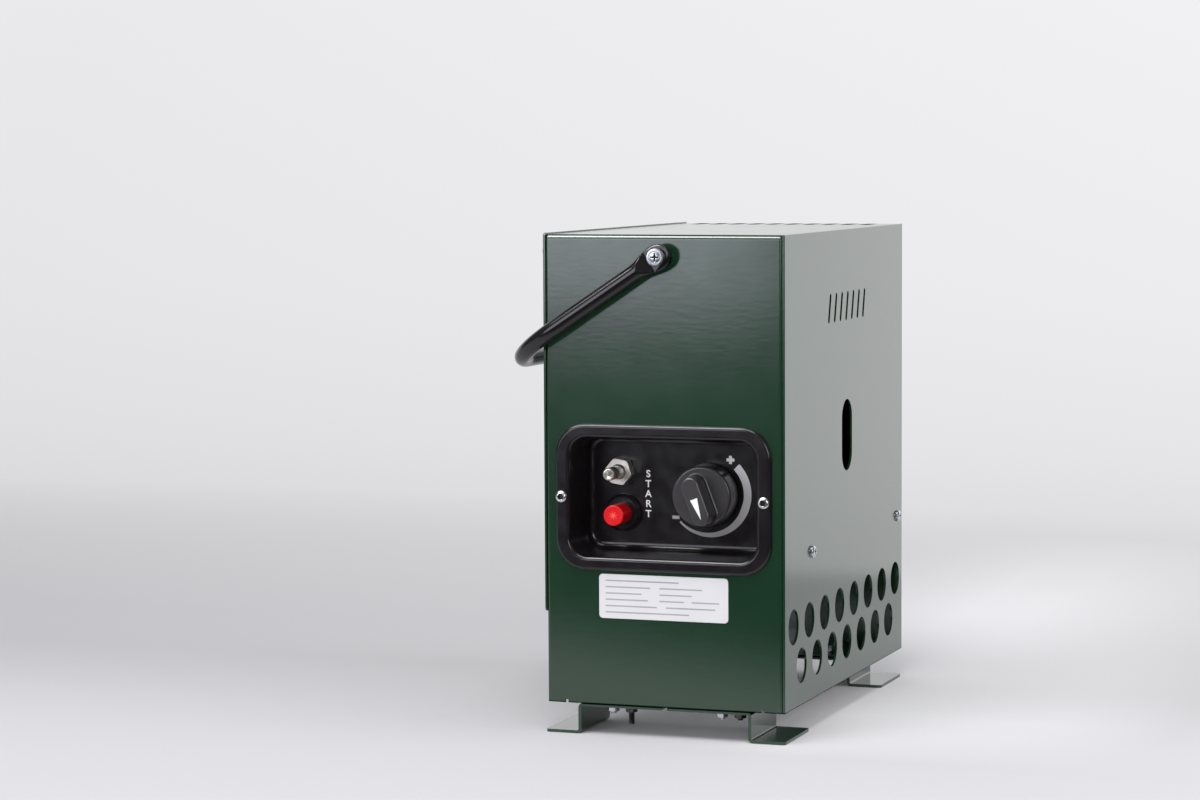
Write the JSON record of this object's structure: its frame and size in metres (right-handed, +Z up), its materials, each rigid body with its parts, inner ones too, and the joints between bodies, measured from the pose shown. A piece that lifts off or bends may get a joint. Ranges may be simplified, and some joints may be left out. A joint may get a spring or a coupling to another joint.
{
  "type": "gas tent heater",
  "caption": "Portable gas tent heater: folded steel housing on bent feet, bail handle, recessed control panel with knob, igniter button and gas inlet, slotted top and perforated side.",
  "frame": {"origin": "on the floor, under the middle of the outline with the handle at rest", "axes": "+Z up, -Y out of the control panel, +X towards the perforated side panel"},
  "size_m": [0.1922, 0.3208, 0.3238],
  "materials": {
    "green_powder_coat": "semi gloss powder coat",
    "black_powder_coat": "satin powder coat",
    "plated_steel": "zinc plated",
    "nickel_plated": "nickel plated, turned",
    "blackened_steel": "blackened",
    "black_moulding": "fine satin texture",
    "red_moulding": "gloss",
    "white_label": "satin foil",
    "cast_aluminium": "die cast",
    "turned_brass": "turned",
    "drawn_pipe": "drawn",
    "stainless": "bare",
    "aluminised_sheet": "aluminised, dull",
    "white_ceramic": "glazed ceramic",
    "lead_sleeve": "silicone sleeve"
  },
  "bodies": {
    "base": {"body_shell": "green_powder_coat", "right_side_panel": "green_powder_coat", "left_cover": "green_powder_coat", "foot_front_left": "green_powder_coat", "foot_front_right": "green_powder_coat", "foot_rear_left": "green_powder_coat", "foot_rear_right": "green_powder_coat", "foot_screws": "plated_steel", "foot_nuts": "plated_steel", "cover_screws": "plated_steel", "cover_nuts": "plated_steel", "side_screws": "plated_steel", "side_nuts": "plated_steel", "bezel_nuts": "plated_steel", "handle_screws": "plated_steel", "handle_nuts": "plated_steel", "inlet_washer": "plated_steel", "bezel_screws": "nickel_plated", "inlet_nut": "nickel_plated", "gas_inlet_nipple": "nickel_plated", "inlet_locknut": "nickel_plated", "foot_studs": "blackened_steel", "foot_stud_nuts": "blackened_steel", "handle_bushes": "blackened_steel", "control_recess": "black_moulding", "piezo_body": "black_moulding", "piezo_ring_nut": "black_moulding", "label_plate": "white_label", "valve_body": "cast_aluminium", "injector_holder": "turned_brass", "injector": "turned_brass", "pipe_nuts": "turned_brass", "valve_ring_nut": "turned_brass", "inlet_pipe": "drawn_pipe", "burner_pipe": "drawn_pipe", "mixing_tube": "stainless", "burner_tube": "stainless", "burner_brackets": "stainless", "thermocouple": "stainless", "chassis_tray": "aluminised_sheet", "heat_shield": "aluminised_sheet", "firebox": "aluminised_sheet", "spark_electrode": "white_ceramic", "piezo_lead": "lead_sleeve"},
    "plunger": {"valve_plunger": "turned_brass"},
    "control_knob": {"knob": "black_moulding", "valve_spindle": "turned_brass"},
    "igniter_button": {"piezo_button": "red_moulding"},
    "carry_handle": {"handle": "black_powder_coat"}
  },
  "joints": [
    {"name": "knob_push", "type": "slide", "parent": "base", "child": "plunger", "axis": [0, 1, 0], "range_m": [0, 0.003], "stiffness_N_per_m": 1500, "springref_m": -0.001},
    {"name": "knob_turn", "type": "hinge", "parent": "plunger", "child": "control_knob", "pos_m": [0.03391, 0, 0.1551], "axis": [0, -1, 0], "range_deg": [-68, 119]},
    {"name": "igniter_push", "type": "slide", "parent": "base", "child": "igniter_button", "axis": [0, 1, 0], "range_m": [0, 0.0055], "stiffness_N_per_m": 1200, "springref_m": -0.001},
    {"name": "handle_swing", "type": "hinge", "parent": "base", "child": "carry_handle", "pos_m": [0.01291, 0, 0.309], "axis": [0, 1, 0], "range_deg": [0, 246.8]}
  ]
}
